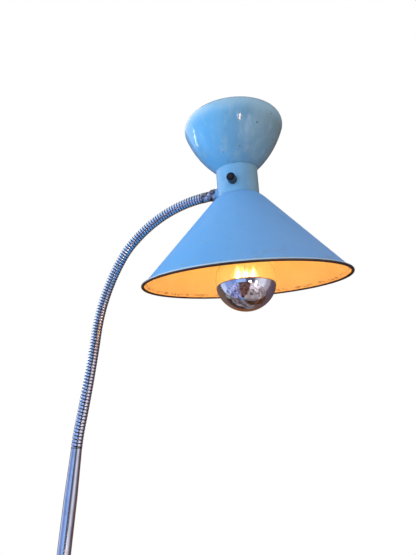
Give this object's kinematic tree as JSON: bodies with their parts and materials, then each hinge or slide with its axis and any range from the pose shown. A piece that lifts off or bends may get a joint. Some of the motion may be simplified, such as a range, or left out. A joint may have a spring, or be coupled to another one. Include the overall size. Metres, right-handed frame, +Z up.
{
  "type": "gooseneck reading floor lamp",
  "caption": "Reading floor lamp: weighted round base, slim pole and a bendable gooseneck that carries a conical shade below and a bowl shade above.",
  "frame": {"origin": "centre of the base's underside, on the floor, on the pole's axis", "axes": "+Z up along the pole, +X towards the head, in the plane of the gooseneck"},
  "size_m": [0.4917, 0.2903, 1.5154],
  "materials": {
    "felt": "matte wool felt",
    "base_paint": "enamel over cast iron",
    "rubber": "matte black",
    "chrome": "polished, lightly worn",
    "neck_chrome": "polished ribbed wire",
    "dark_steel": "darkened",
    "steel": "zinc plated",
    "collar_paint": "semi-gloss enamel",
    "cone_paint": "satin enamel",
    "bowl_paint": "gloss enamel",
    "black_plastic": "glossy black",
    "brass": "plain",
    "holder_plastic": "moulded phenolic",
    "ceramic": "unglazed",
    "bulb_glass": "clear",
    "silvered_glass": "silvered crown",
    "opal_glass": "opal white",
    "filament": "incandescent"
  },
  "bodies": {
    "base": {"base_pad": "felt", "base_casting": "base_paint", "cord_gland": "rubber", "foot_cup": "base_paint", "pole_tube": "chrome", "pole_insert": "steel", "pole_stud": "steel", "base_washer": "steel", "base_nut": "steel", "joint_ring": "dark_steel", "neck_plug": "steel", "neck_root": "neck_chrome"},
    "link_01": {"neck_link_01": "neck_chrome"},
    "link_02": {"neck_link_02": "neck_chrome"},
    "link_03": {"neck_link_03": "neck_chrome"},
    "link_04": {"neck_link_04": "neck_chrome"},
    "link_05": {"neck_link_05": "neck_chrome"},
    "link_06": {"neck_link_06": "neck_chrome"},
    "link_07": {"neck_link_07": "neck_chrome"},
    "link_08": {"neck_link_08": "neck_chrome"},
    "link_09": {"neck_link_09": "neck_chrome"},
    "link_10": {"neck_link_10": "neck_chrome"},
    "link_11": {"neck_link_11": "neck_chrome"},
    "link_12": {"neck_link_12": "neck_chrome"},
    "link_13": {"neck_link_13": "neck_chrome"},
    "neck_end": {"neck_tip": "neck_chrome", "neck_ferrule": "chrome", "head_nut": "chrome", "neck_nipple": "steel", "neck_locknut": "steel"},
    "head": {"collar": "collar_paint", "collar_bridge": "steel", "switch_body": "black_plastic", "switch_sleeve": "black_plastic", "switch_terminals": "brass", "shade_cone": "cone_paint", "shade_bowl": "bowl_paint", "lower_nipple": "steel", "upper_nipple": "steel", "shade_nuts": "steel", "holder_cap": "holder_plastic", "holder_shell": "holder_plastic", "holder_insert": "ceramic", "screw_shell": "brass", "centre_contact": "brass", "bulb_crown": "silvered_glass", "bulb_glass": "bulb_glass", "bulb_cap": "brass", "bulb_insulator": "ceramic", "bulb_contact": "brass", "bulb_stem": "bulb_glass", "bulb_filaments": "filament", "filament_support": "steel", "small_holder": "holder_plastic", "small_insert": "ceramic", "small_bulb_cap": "brass", "small_bulb_glass": "opal_glass"},
    "button": {"switch_plunger": "black_plastic"}
  },
  "joints": [
    {"name": "neck_lower_bend", "type": "hinge", "parent": "base", "child": "link_01", "pos_m": [0.0005, 0, 1.09504], "axis": [0, 1, 0], "range_deg": [-13, 7]},
    {"name": "neck_side_bend", "type": "hinge", "parent": "link_01", "child": "link_02", "pos_m": [0.00365, 0, 1.12498], "axis": [0.9943, 0, -0.107], "range_deg": [-10, 10]},
    {"name": "neck_lower_bend_2", "type": "hinge", "parent": "link_02", "child": "link_03", "pos_m": [0.00659, 0, 1.15494], "axis": [0, 1, 0], "range_deg": [-13, 7]},
    {"name": "neck_side_bend_2", "type": "hinge", "parent": "link_03", "child": "link_04", "pos_m": [0.00896, 0, 1.18496], "axis": [0.9976, 0, -0.0693], "range_deg": [-10, 10]},
    {"name": "neck_lower_bend_3", "type": "hinge", "parent": "link_04", "child": "link_05", "pos_m": [0.01076, 0, 1.21501], "axis": [0, 1, 0], "range_deg": [-13, 7]},
    {"name": "neck_side_bend_3", "type": "hinge", "parent": "link_05", "child": "link_06", "pos_m": [0.01267, 0, 1.24505], "axis": [0.9936, 0, -0.1131], "range_deg": [-10, 10]},
    {"name": "neck_upper_bend", "type": "hinge", "parent": "link_06", "child": "link_07", "pos_m": [0.018, 0, 1.27466], "axis": [0, 1, 0], "range_deg": [-13, 7]},
    {"name": "neck_side_bend_4", "type": "hinge", "parent": "link_07", "child": "link_08", "pos_m": [0.02711, 0, 1.30333], "axis": [0.9314, 0, -0.364], "range_deg": [-10, 10]},
    {"name": "neck_upper_bend_2", "type": "hinge", "parent": "link_08", "child": "link_09", "pos_m": [0.03985, 0, 1.33059], "axis": [0, 1, 0], "range_deg": [-13, 7]},
    {"name": "neck_side_bend_5", "type": "hinge", "parent": "link_09", "child": "link_10", "pos_m": [0.05676, 0, 1.3554], "axis": [0.7369, 0, -0.676], "range_deg": [-10, 10]},
    {"name": "neck_upper_bend_3", "type": "hinge", "parent": "link_10", "child": "link_11", "pos_m": [0.07944, 0, 1.37513], "axis": [0, 1, 0], "range_deg": [-13, 7]},
    {"name": "neck_side_bend_6", "type": "hinge", "parent": "link_11", "child": "link_12", "pos_m": [0.10548, 0, 1.39015], "axis": [0.4143, 0, -0.9101], "range_deg": [-10, 10]},
    {"name": "neck_upper_bend_4", "type": "hinge", "parent": "link_12", "child": "link_13", "pos_m": [0.13391, 0, 1.39992], "axis": [0, 1, 0], "range_deg": [-13, 7]},
    {"name": "neck_side_bend_7", "type": "hinge", "parent": "link_13", "child": "neck_end", "pos_m": [0.16368, 0, 1.4041], "axis": [0.0435, 0, -0.9991], "range_deg": [-10, 10]},
    {"name": "head_turn", "type": "hinge", "parent": "neck_end", "child": "head", "pos_m": [0.23365, 0, 1.40116], "axis": [0.9986, 0, -0.0523], "range_deg": [-60, 60]},
    {"name": "switch_press", "type": "slide", "parent": "head", "child": "button", "axis": [-0.1436, 0.9577, 0.2493], "range_m": [0, 0.0012], "stiffness_N_per_m": 400, "springref_m": -0.0012}
  ],
  "couplings": [
    {"joint": "neck_lower_bend_2", "follows": "neck_lower_bend", "ratio": 1},
    {"joint": "neck_side_bend_2", "follows": "neck_side_bend", "ratio": 1},
    {"joint": "neck_lower_bend_3", "follows": "neck_lower_bend", "ratio": 1},
    {"joint": "neck_side_bend_3", "follows": "neck_side_bend", "ratio": 1},
    {"joint": "neck_side_bend_4", "follows": "neck_side_bend", "ratio": 1},
    {"joint": "neck_upper_bend_2", "follows": "neck_upper_bend", "ratio": 1},
    {"joint": "neck_side_bend_5", "follows": "neck_side_bend", "ratio": 1},
    {"joint": "neck_upper_bend_3", "follows": "neck_upper_bend", "ratio": 1},
    {"joint": "neck_side_bend_6", "follows": "neck_side_bend", "ratio": 1},
    {"joint": "neck_upper_bend_4", "follows": "neck_upper_bend", "ratio": 1},
    {"joint": "neck_side_bend_7", "follows": "neck_side_bend", "ratio": 1}
  ]
}
